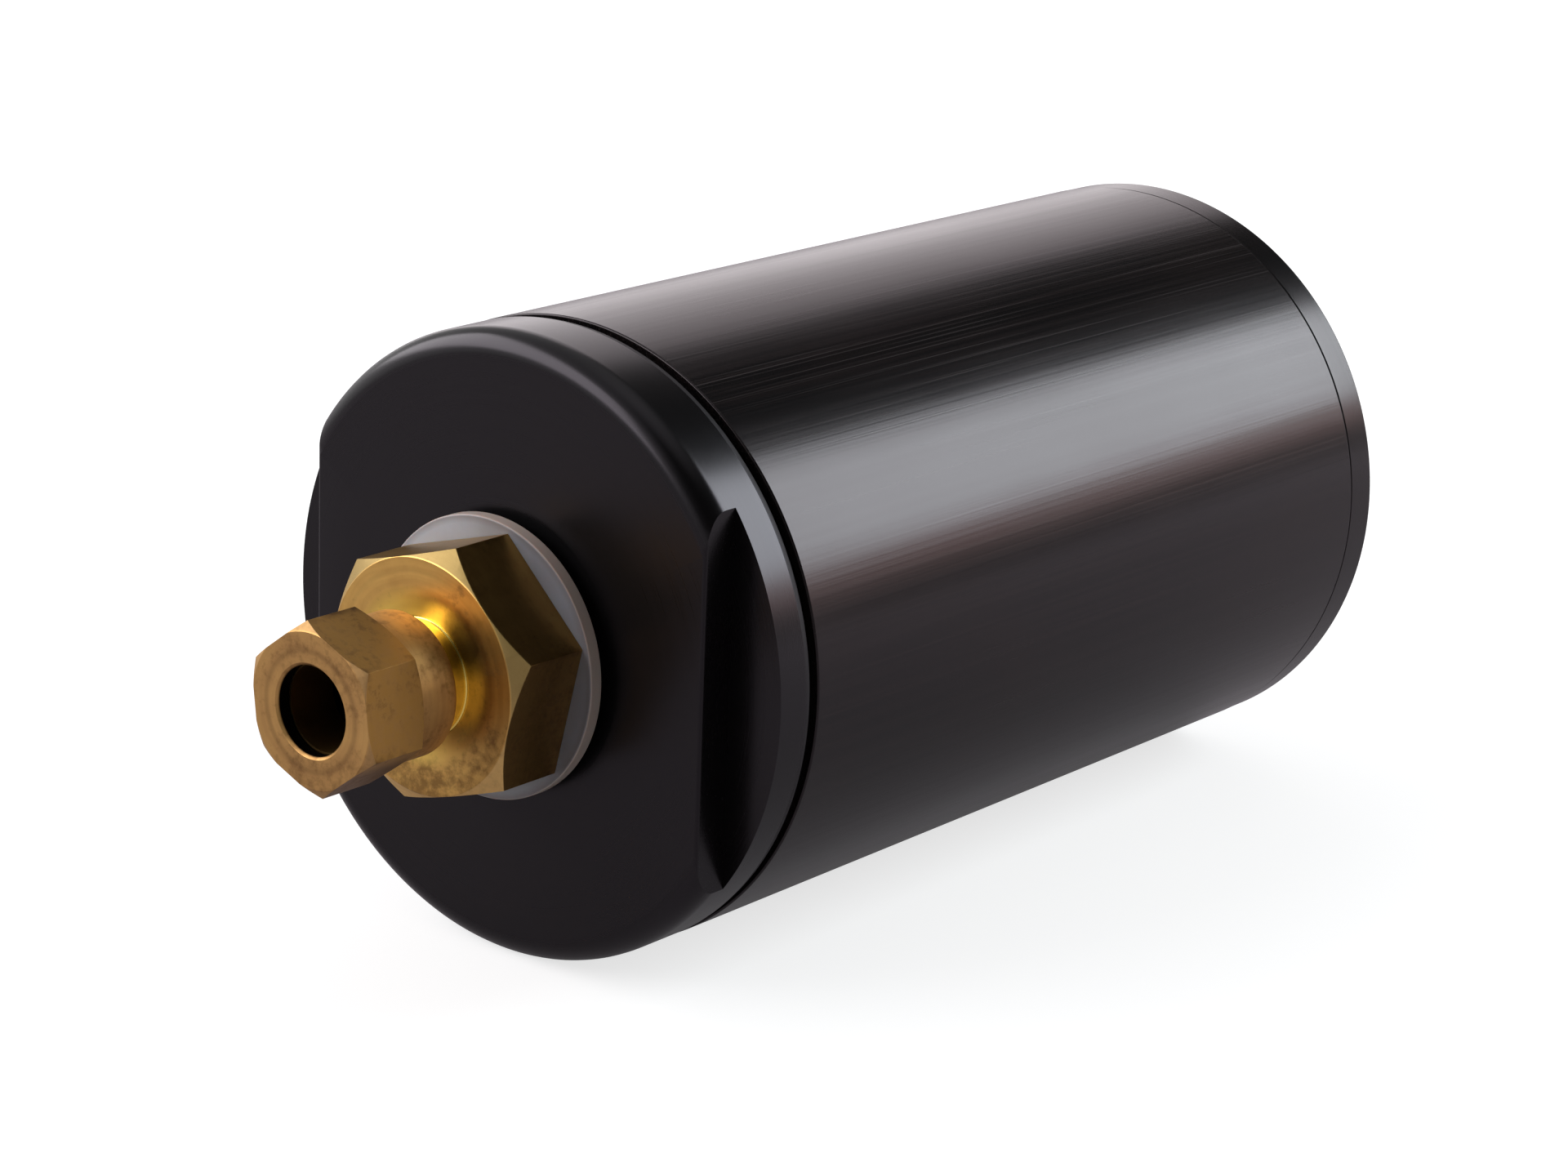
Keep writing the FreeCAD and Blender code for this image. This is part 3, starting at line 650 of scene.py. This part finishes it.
barrel = {
    "radius": 30.0,
    "bore": 25.0,
    "thread": 27.0,
    "frontBevel": 0.2,
    "rearBevel": 0.2,
    "frontThread": 12.0,
    "rearThread": 9.0,
    "leadIn": 0.8,
    "rings": (30.0, 60.0),  # extra edges that divide the long outside
}
front, back = startOf("barrel"), endOf("barrel")
frontStep = front + barrel["frontThread"]
rearStep = back - barrel["rearThread"]
lead = barrel["leadIn"]
outline = [
    (barrel["thread"], front),
    *roundCorner(
        (barrel["radius"], front),
        (barrel["thread"], front),
        (barrel["radius"], back),
        barrel["frontBevel"],
    ),
    *((barrel["radius"], front + ring) for ring in barrel["rings"]),
    *roundCorner(
        (barrel["radius"], back),
        (barrel["radius"], front),
        (barrel["thread"], back),
        barrel["rearBevel"],
        3,
    ),
    (barrel["thread"], back),
    (barrel["thread"], rearStep),
    (barrel["bore"] + lead, rearStep),
    (barrel["bore"], rearStep - lead),
    (barrel["bore"], frontStep + lead),
    (barrel["bore"] + lead, frontStep),
    (barrel["thread"], frontStep),
]
tube = turnPiece("barrelTube", outline, 256)
handOver(tube, "housing", barrelFinish, "barrel")

# Front cap, with two spanner flats milled across its edge

frontCap = {
    "radius": 29.95,
    "faceRound": 2.5,
    "backTaper": 0.7,
    "backDrop": 0.16,
    "backCurve": ((0.7, 0.2), (0.35, 0.55)),  # share of the taper left, and of the drop made
    "width": 8.1,
    "spigotRadius": 26.95,
    "seatRadius": 12.0,
    "seatHeight": 1.2,
    "faceRing": 20.0,
    "portRadius": 6.58,
    "portDepth": 13.0,
    "passageRadius": 4.0,
    "dishRadius": 21.0,
    "dishDepth": 1.2,
    "spigotBevel": 0.8,
    "flatsAcross": 48.0,
    "flatsDepth": 3.9,
    "edgeRound": 0.35,
    "cutterReach": 34.0,  # from the axis
    "cutterStart": 2.0,   # ahead of the face
}
seat, inner = startOf("front_cap"), endOf("front_cap")
face = seat + frontCap["seatHeight"]
shoulder = face + frontCap["width"]
capRadius, spigot = frontCap["radius"], frontCap["spigotRadius"]
outline = [
    (frontCap["portRadius"], seat),
    (frontCap["seatRadius"], seat),
    (frontCap["seatRadius"], face),
    (frontCap["faceRing"], face),
    *roundCorner(
        (capRadius, face), (0, face), (capRadius, shoulder), frontCap["faceRound"], 10
    ),
    (capRadius, shoulder - frontCap["backTaper"]),
    *(
        (capRadius - frontCap["backDrop"] * drop, shoulder - frontCap["backTaper"] * taper)
        for taper, drop in frontCap["backCurve"]
    ),
    (capRadius - frontCap["backDrop"], shoulder),
    (spigot, shoulder),
    (spigot, inner - frontCap["spigotBevel"]),
    (spigot - frontCap["spigotBevel"], inner),
    (frontCap["dishRadius"], inner),
    (frontCap["dishRadius"] - frontCap["dishDepth"], inner - frontCap["dishDepth"]),
    (frontCap["passageRadius"], inner - frontCap["dishDepth"]),
    (frontCap["passageRadius"], face + frontCap["portDepth"]),
    (frontCap["portRadius"], face + frontCap["portDepth"]),
]
cap = turnPiece("frontCap", outline, 256)


def flatCutter(side):
    # Block with a hollow corner that eases the flat's front edge
    flat = frontCap["flatsAcross"] / 2
    depth = face + frontCap["flatsDepth"]
    ease = frontCap["edgeRound"]
    reach = frontCap["cutterReach"]
    before = face - frontCap["cutterStart"]
    arc = [math.radians(15 * step) for step in range(7)]
    easing = [
        (flat - ease * (1 - math.sin(angle)), face + ease * (1 - math.cos(angle)))
        for angle in arc
    ]
    section = [(flat - ease, before), *easing, (flat, depth), (reach, depth), (reach, before)]
    below = axisHeight - reach * mm
    walkOutline(
        "flatCutter",
        [Vector((side * across * mm, along * mm, below)) for across, along in section],
    )
    bpy.ops.mesh.edge_face_add()
    extrude((0, 0, 2 * reach * mm))
    return closeMesh()


for side in (-1, 1):
    cutAway(cap, flatCutter(side))
handOver(cap, "housing", frontCapFinish, "front_cap")

# Joint ring between cap and barrel

jointRing = {"radius": 29.1, "bore": 27.3, "round": 0.25}
front, back = startOf("joint_ring"), endOf("joint_ring")
outline = [
    (jointRing["bore"], front),
    *roundCorner(
        (jointRing["radius"], front),
        (jointRing["bore"], front),
        (jointRing["radius"], back),
        jointRing["round"],
        4,
    ),
    *roundCorner(
        (jointRing["radius"], back),
        (jointRing["radius"], front),
        (jointRing["bore"], back),
        jointRing["round"],
        4,
    ),
    (jointRing["bore"], back),
]
ring = turnPiece("jointRing", outline)
handOver(ring, "housing", rubberFinish, "joint_ring")

# Nylon washer

washer = {"radius": 13.4, "bore": 6.7, "edge": 0.2}
front, back = startOf("port_washer"), endOf("port_washer")
outline = [
    (washer["bore"], front),
    *roundCorner(
        (washer["radius"], front), (0, front), (washer["radius"], back), washer["edge"], 4
    ),
    *roundCorner(
        (washer["radius"], back), (washer["radius"], front), (0, back), washer["edge"], 4
    ),
    (washer["bore"], back),
]
portWasher = turnPiece("portWasher", outline)
handOver(portWasher, "housing", nylonFinish, "port_washer")

# Port adaptor: hexagon, dished face, polished neck and threaded nose

adaptor = {
    "acrossFlats": 22.2,
    "cornerAngle": 13.65,
    "faceRadius": 11.05,
    "bevel": 1.3,
    "hexLength": 8.1,
    "spare": 0.3,
    "stub": 6.53,
    "stubLength": 11.5,
    "dishDepth": 0.4,
    "dishCurve": ((6.6, 0.8), (7.5, 0.38), (8.3, 0.05)),  # radius and share of the depth
    "dishEdge": 9.2,
    "neck": 5.4,
    "neckRound": 0.12,
    "neckLength": 2.8,
    "nose": 5.95,
    "noseBevel": 0.5,
    "mouth": 5.0,
    "mouthDepth": 4.5,
    "socket": 4.05,
    "socketDepth": 9.0,
    "oilBore": 2.75,
    "edge": 0.1,
}
tip = startOf("port_adaptor")
tail = endOf("port_adaptor")
hexFace = tail - adaptor["stubLength"] - adaptor["hexLength"]
hexBack = tail - adaptor["stubLength"]
corner = adaptor["acrossFlats"] / 2 / math.cos(math.radians(30))
slope = adaptor["bevel"] / (corner - adaptor["faceRadius"])
blank = corner + adaptor["spare"]
neckStart = hexFace - adaptor["neckLength"]
outline = [
    (adaptor["mouth"], tip),
    (adaptor["nose"] - adaptor["noseBevel"], tip),
    (adaptor["nose"], tip + adaptor["noseBevel"]),
    (adaptor["nose"], neckStart - adaptor["noseBevel"]),
    (adaptor["neck"], neckStart),
    (adaptor["neck"], hexFace + adaptor["dishDepth"] - adaptor["neckRound"]),
    (adaptor["neck"] + adaptor["neckRound"], hexFace + adaptor["dishDepth"]),
    *((radius, hexFace + adaptor["dishDepth"] * share) for radius, share in adaptor["dishCurve"]),
    (adaptor["dishEdge"], hexFace),
    (adaptor["faceRadius"], hexFace),
    (blank, hexFace + slope * (blank - adaptor["faceRadius"])),
    (blank, hexBack),
    (adaptor["stub"], hexBack),
    (adaptor["stub"], tail - adaptor["noseBevel"]),
    (adaptor["stub"] - adaptor["noseBevel"], tail),
    (adaptor["oilBore"], tail),
    (adaptor["oilBore"], tip + adaptor["socketDepth"]),
    (adaptor["socket"], tip + adaptor["socketDepth"]),
    (adaptor["socket"], tip + adaptor["mouthDepth"]),
]
portAdaptor = turnPiece("portAdaptor", outline)
millHex(portAdaptor, adaptor["acrossFlats"], adaptor["cornerAngle"])
easeEdges(portAdaptor, adaptor["edge"])
handOver(portAdaptor, "housing", adaptorFinish, "port_adaptor")

# Ferrule

ferrule = {
    "bore": 4.08,
    "nose": 4.3,
    "head": 5.3,
    "headLength": 0.95,
    "headBevel": 0.1,
    "mouth": 4.95,
    "mouthLength": 0.15,
    "tip": 4.295,
}
front, back = startOf("ferrule"), endOf("ferrule")
noseEnd = front + ferrule["head"] - ferrule["nose"]
headEnd = noseEnd + ferrule["headLength"]
outline = [
    (ferrule["bore"], front),
    (ferrule["nose"], front),
    (ferrule["head"] - ferrule["headBevel"], noseEnd - ferrule["headBevel"]),
    (ferrule["head"], noseEnd + ferrule["headBevel"]),
    (ferrule["head"], headEnd),
    (ferrule["mouth"], headEnd),
    (ferrule["mouth"], headEnd + ferrule["mouthLength"]),
    (ferrule["tip"], back),
    (ferrule["bore"], back),
]
sealingFerrule = turnPiece("sealingFerrule", outline, 96)
handOver(sealingFerrule, "sealing_ferrule", ferruleFinish, "ferrule")

# Compression nut: hexagon in front, round collar behind

nut = {
    "acrossFlats": 14.0,
    "cornerAngle": -6.9,
    "faceRadius": 7.17,
    "faceBevel": 0.6,
    "hexLength": 7.1,
    "backBevel": 0.7,
    "spare": 0.25,
    "collar": 6.8,
    "collarRound": 0.45,
    "bore": 4.15,
    "mouth": 0.25,
    "thread": 6.0,
    "landEnd": 1.25,
    "edge": 0.14,
}
front, back = startOf("compression_nut"), endOf("compression_nut")
hexEnd = front + nut["hexLength"]
corner = nut["acrossFlats"] / 2 / math.cos(math.radians(30))
blank = corner + nut["spare"]
faceSlope = nut["faceBevel"] / (corner - nut["faceRadius"])
backSlope = nut["backBevel"] / (corner - nut["collar"])
seatEnd = nut["landEnd"] + nut["thread"] - nut["bore"]
outline = [
    (nut["bore"] + nut["mouth"], front),
    (nut["faceRadius"], front),
    (blank, front + faceSlope * (blank - nut["faceRadius"])),
    (blank, hexEnd - backSlope * (blank - nut["collar"])),
    (nut["collar"], hexEnd),
    *roundCorner(
        (nut["collar"], back), (nut["collar"], hexEnd), (0, back), nut["collarRound"], 4
    ),
    (nut["thread"], back),
    (nut["thread"], front + seatEnd),
    (nut["bore"], front + nut["landEnd"]),
    (nut["bore"], front + nut["mouth"]),
]
compressionNut = turnPiece("compressionNut", outline, 144)
millHex(compressionNut, nut["acrossFlats"], nut["cornerAngle"])
easeEdges(compressionNut, nut["edge"])
handOver(compressionNut, "nut", nutFinish, "compression_nut")

# Rear cap with two pin-spanner holes and a seat for the breather

rearCap = {
    "radius": 29.95,
    "rimWidth": 4.0,
    "rimBevel": 0.3,
    "rimEdge": 0.2,
    "spigot": 26.95,
    "spigotBevel": 0.8,
    "noseLength": 6.0,
    "nose": 24.95,
    "grooveFloor": 22.52,
    "grooveStart": 1.2,
    "grooveWidth": 3.0,
    "recess": 20.05,
    "recessDepth": 1.0,
    "vent": 2.0,
    "breather": 5.0,
    "breatherBevel": 0.3,
    "breatherDepth": 7.5,
    "faceRing": 24.0,
    "pinCircle": 20.0,
    "pinRadius": 2.0,
    "pinDepth": 3.0,
    "pinBevel": 0.25,
}
inner, rear = startOf("rear_cap"), endOf("rear_cap")
rimFront = rear - rearCap["rimWidth"]
nose, spigot, vent = rearCap["nose"], rearCap["spigot"], rearCap["vent"]
grooveFront = inner + rearCap["grooveStart"]
grooveBack = grooveFront + rearCap["grooveWidth"]
noseEnd = inner + rearCap["noseLength"]
breatherSeat = rear - rearCap["breatherDepth"]
outline = [
    (vent, inner + rearCap["recessDepth"]),
    (rearCap["recess"], inner + rearCap["recessDepth"]),
    (rearCap["recess"], inner),
    (nose, inner),
    (nose, grooveFront),
    (rearCap["grooveFloor"], grooveFront),
    (rearCap["grooveFloor"], grooveBack),
    (nose, grooveBack),
    (nose, noseEnd),
    (spigot - rearCap["spigotBevel"], noseEnd),
    (spigot, noseEnd + rearCap["spigotBevel"]),
    (spigot, rimFront),
    (rearCap["radius"] - rearCap["rimEdge"], rimFront),
    (rearCap["radius"], rimFront + rearCap["rimEdge"]),
    *roundCorner(
        (rearCap["radius"], rear),
        (rearCap["radius"], rimFront),
        (0, rear),
        rearCap["rimBevel"],
        4,
    ),
    (rearCap["faceRing"], rear),
    (rearCap["breather"] + rearCap["breatherBevel"], rear),
    (rearCap["breather"], rear - rearCap["breatherBevel"]),
    (rearCap["breather"], breatherSeat),
    (vent, breatherSeat),
]
endCap = turnPiece("rearCap", outline, 256)
for side in (-1, 1):
    # A flat-ended cutter with a flared head that bevels the hole's mouth
    across = side * rearCap["pinCircle"]
    standCircle(48, rearCap["pinRadius"], across, rear - rearCap["pinDepth"])
    extrude((0, (rearCap["pinDepth"] - rearCap["pinBevel"]) * mm, 0))
    flare = 2 * rearCap["pinBevel"]
    extrude((0, flare * mm, 0))
    grow = (rearCap["pinRadius"] + flare) / rearCap["pinRadius"]
    bpy.ops.transform.resize(
        value=(grow, 1, grow), center_override=(across * mm, 0, axisHeight)
    )
    cutAway(endCap, closeMesh())
handOver(endCap, "housing", rearCapFinish, "rear_cap")

# Breather plug with a key socket

plug = {
    "radius": 4.95,
    "bevel": 0.5,
    "passage": 1.5,
    "pocket": 3.45,
    "pocketDepth": 3.0,
    "grooveStart": 0.8,
    "grooveEnd": 1.4,
    "groove": 3.9,
    "socketAcross": 5.0,
    "socketDepth": 2.4,
    "edge": 0.06,
}
front, back = startOf("breather_plug"), endOf("breather_plug")
outline = [
    (plug["pocket"], front),
    (plug["radius"] - plug["bevel"], front),
    (plug["radius"], front + plug["bevel"]),
    (plug["radius"], back - plug["bevel"]),
    (plug["radius"] - plug["bevel"], back),
    (plug["passage"], back),
    (plug["passage"], front + plug["pocketDepth"]),
    (plug["pocket"], front + plug["pocketDepth"]),
    (plug["pocket"], front + plug["grooveEnd"]),
    (plug["groove"], front + plug["grooveEnd"]),
    (plug["groove"], front + plug["grooveStart"]),
    (plug["pocket"], front + plug["grooveStart"]),
]
breatherPlug = turnPiece("breatherPlug", outline, 96)
keyCorner = plug["socketAcross"] / 2 / math.cos(math.radians(30))
standCircle(6, keyCorner, 0, back - plug["socketDepth"])
extrude((0, (plug["socketDepth"] + 1) * mm, 0))
cutAway(breatherPlug, closeMesh())
easeEdges(breatherPlug, plug["edge"], 2)
handOver(breatherPlug, "housing", breatherFinish, "breather_plug")

# Return spring, ground flat at both ends

spring = {"coil": 16.4, "wire": 1.1, "turns": 7, "closedLength": 16.2}
front, back = startOf("return_spring"), endOf("return_spring")
length = back - front
pitch = length / spring["turns"]
deselectAll()
bpy.ops.mesh.primitive_circle_add(
    vertices=20, radius=spring["wire"] * mm, location=(spring["coil"] * mm, 0, 0)
)
wire = bpy.context.object
wire.name = wire.data.name = "returnSpring"
bpy.ops.object.transform_apply(location=True, rotation=True, scale=True)
screw = wire.modifiers.new("coil", "SCREW")
screw.axis = "Y"
screw.screw_offset = pitch * mm
screw.iterations = spring["turns"] + 1
screw.steps = screw.render_steps = 64
screw.use_merge_vertices = False
applyModifier(wire, screw)
openMesh(wire)
bpy.ops.transform.translate(value=(0, (front - pitch / 2) * mm, axisHeight))
for end, outward in ((front, -1), (back, 1)):
    bpy.ops.mesh.select_all(action="SELECT")
    bpy.ops.mesh.bisect(
        plane_co=(0, end * mm, 0), plane_no=(0, outward, 0), use_fill=True, clear_outer=True
    )
closeMesh()
handOver(wire, "housing", springFinish, "return_spring")
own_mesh(wire)

# Pieces inside that keep their plain shape

innerFinishes = {
    "rear_o_ring": rubberFinish,
    "piston_front_seal": rubberFinish,
    "piston_rear_seal": rubberFinish,
    "guide_band": guideFinish,
    "piston": aluminiumFinish,
    "bleed_screw": zincFinish,
    "bleed_seal": copperFinish,
    "spring_seat": zincFinish,
    "breather_filter": bronzeFinish,
    "breather_ring": springFinish,
}
for node, material in innerFinishes.items():
    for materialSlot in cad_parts[node].material_slots:
        materialSlot.material = material
print("inner pieces finished")

# Floor, backdrop light and lamps

studio = {
    "floorSize": 6.0,
    "floorColour": (0.4, 0.4, 0.4),
    "mirroredColour": (0.345, 0.305, 0.33),
    "floorGlow": 0.72,
    "inMirrors": 0.16,   # share of the glow that gloss and glass show
    "surround": 0.45,    # pale wall round the set, as gloss shows it
    "horizon": 0.25,     # how high the wall reaches, as a sine
    "fade": 0.12,
    "above": 0.03,       # the least light from above the wall
    "ceiling": 0.55,     # dim light overhead, on the port's side and to its left
    "leftWall": 0.6,
    "leftGlow": 0.35,    # what the wall gains towards the left
    "overhead": 0.75,
    "right": 0.45,       # how much of the wall is lost towards the right
    "daylight": 0.5,
    "shade": 0.85,       # how much weaker it is from the right
}
deselectAll()
bpy.ops.mesh.primitive_plane_add(size=studio["floorSize"], location=(0, 0, 0))
floor = bpy.context.object
floor.name = floor.data.name = "floor"
paper = Finish("floorPaper")
paper.set(Roughness=0.9, Specular_IOR_Level=0.1)
direct, mirrored = paper.lightPath()
seen = direct + mirrored * studio["inMirrors"]
glow = studio["floorGlow"]
paper.set(
    Base_Color=paper.mix(mirrored, studio["floorColour"], studio["mirroredColour"]),
    Emission_Color=paper.mix(seen, (0.0, 0.0, 0.0), (glow, glow, glow)),
    Emission_Strength=1.0,
)
floor.data.materials.append(paper.material)


class Sky(Finish):
    # The same node building for the world's background
    def __init__(self, world):
        world.use_nodes = True
        self.begin(world.node_tree, "ShaderNodeBackground", "ShaderNodeOutputWorld")
        self.side, self.depth, self.height = self.place("Generated")


world = bpy.data.worlds.new("studio")
bpy.context.scene.world = world
sky = Sky(world)
direct, mirrored = sky.lightPath()
# The limits of these ramps are directions, as cosines
low = 1 - sky.height.ramp(studio["horizon"] - studio["fade"], studio["horizon"] + studio["fade"])
ceiling = (1 - sky.side.ramp(-0.05, 0.2)) * (1 - sky.depth.ramp(0.4, 0.7)) * studio["ceiling"]
leftWall = (sky.side * -1).ramp(0.25, 0.6) * studio["leftWall"]
overhead = sky.height.ramp(0.8, 1.0) * studio["overhead"]
above = ceiling.through("MAXIMUM", leftWall).through("MAXIMUM", studio["above"])
above = above.through("MAXIMUM", overhead)
wall = (1 - sky.side.ramp(0.1, 0.6) * studio["right"]) * studio["surround"]
wall = wall + (sky.side * -1).ramp(0.2, 0.6) * studio["leftGlow"]
surround = low * (wall - above) + above
daylight = (1 - sky.side.ramp(-0.6, 0.9) * studio["shade"]) * studio["daylight"]
level = mirrored * surround + (1 - mirrored) * daylight
level = direct + (1 - direct) * level
sky.set(Color=sky.vector(level, level, level), Strength=1.0)

lamps = {
    "keyStrip": {
        "place": (0.6, 1.0, 0.561),
        "faces": (0, 1.0, 0.03),
        "along": (0, 1, 0),
        "size": (0.61, 1.05),
        "radiance": 8.3,
        "colour": (0.9, 0.97, 1.0),
    },
    "warmEdge": {
        "place": (0.821, 1.0, 0.258),
        "faces": (0, 1.0, 0.03),
        "along": (0, 1, 0),
        "size": (0.15, 1.05),
        "radiance": 2.0,
        "colour": (1.0, 0.6, 0.54),
    },
    "sideStrip": {
        "place": (-0.69, 1.0, 0.44),
        "faces": (0, 1.0, 0.03),
        "along": (0, 1, 0),
        "size": (0.88, 1.05),
        "radiance": 0.92,
        "colour": (1.0, 0.88, 0.92),
    },
    "leftBox": {
        "place": (-0.777, -0.629, 0.76),
        "faces": (0, 0, 0.76),
        "along": (0.629, -0.777, 0),
        "size": (0.85, 1.76),
        "radiance": 4.1,
        "colour": (1.0, 0.97, 0.99),
    },
}
for name, lamp in lamps.items():
    width, length = lamp["size"]
    light = bpy.data.lights.new(name, "AREA")
    light.shape = "RECTANGLE"
    light.size, light.size_y = width, length
    light.energy = lamp["radiance"] * math.pi * width * length
    light.color = lamp["colour"]
    holder = bpy.data.objects.new(name, light)
    bpy.context.collection.objects.link(holder)
    away = (Vector(lamp["place"]) - Vector(lamp["faces"])).normalized()
    across = Vector(lamp["along"]).cross(away).normalized()
    turn = Matrix((across, away.cross(across), away)).transposed()
    holder.matrix_world = Matrix.Translation(Vector(lamp["place"])) @ turn.to_4x4()
    holder.visible_camera = False
print("studio set")

# Camera

camera = {
    "place": (0.24235, -0.30175, 0.1447),
    "forward": (-0.597, 0.748, -0.289),
    "up": (-0.2093, 0.2025, 0.9567),
    "lens": 93.5,
    "sensor": 36.0,
}
lens = bpy.data.cameras.new("camera")
lens.lens, lens.sensor_width = camera["lens"], camera["sensor"]
lens.clip_start, lens.clip_end = 0.01, 20.0
viewer = bpy.data.objects.new("camera", lens)
bpy.context.collection.objects.link(viewer)
forward = Vector(camera["forward"]).normalized()
right = forward.cross(Vector(camera["up"])).normalized()
up = right.cross(forward)
turn = Matrix((right, up, -forward)).transposed()
viewer.matrix_world = Matrix.Translation(Vector(camera["place"])) @ turn.to_4x4()
bpy.context.scene.camera = viewer
bpy.context.scene.view_settings.view_transform = "Standard"

bpy.context.view_layer.update()
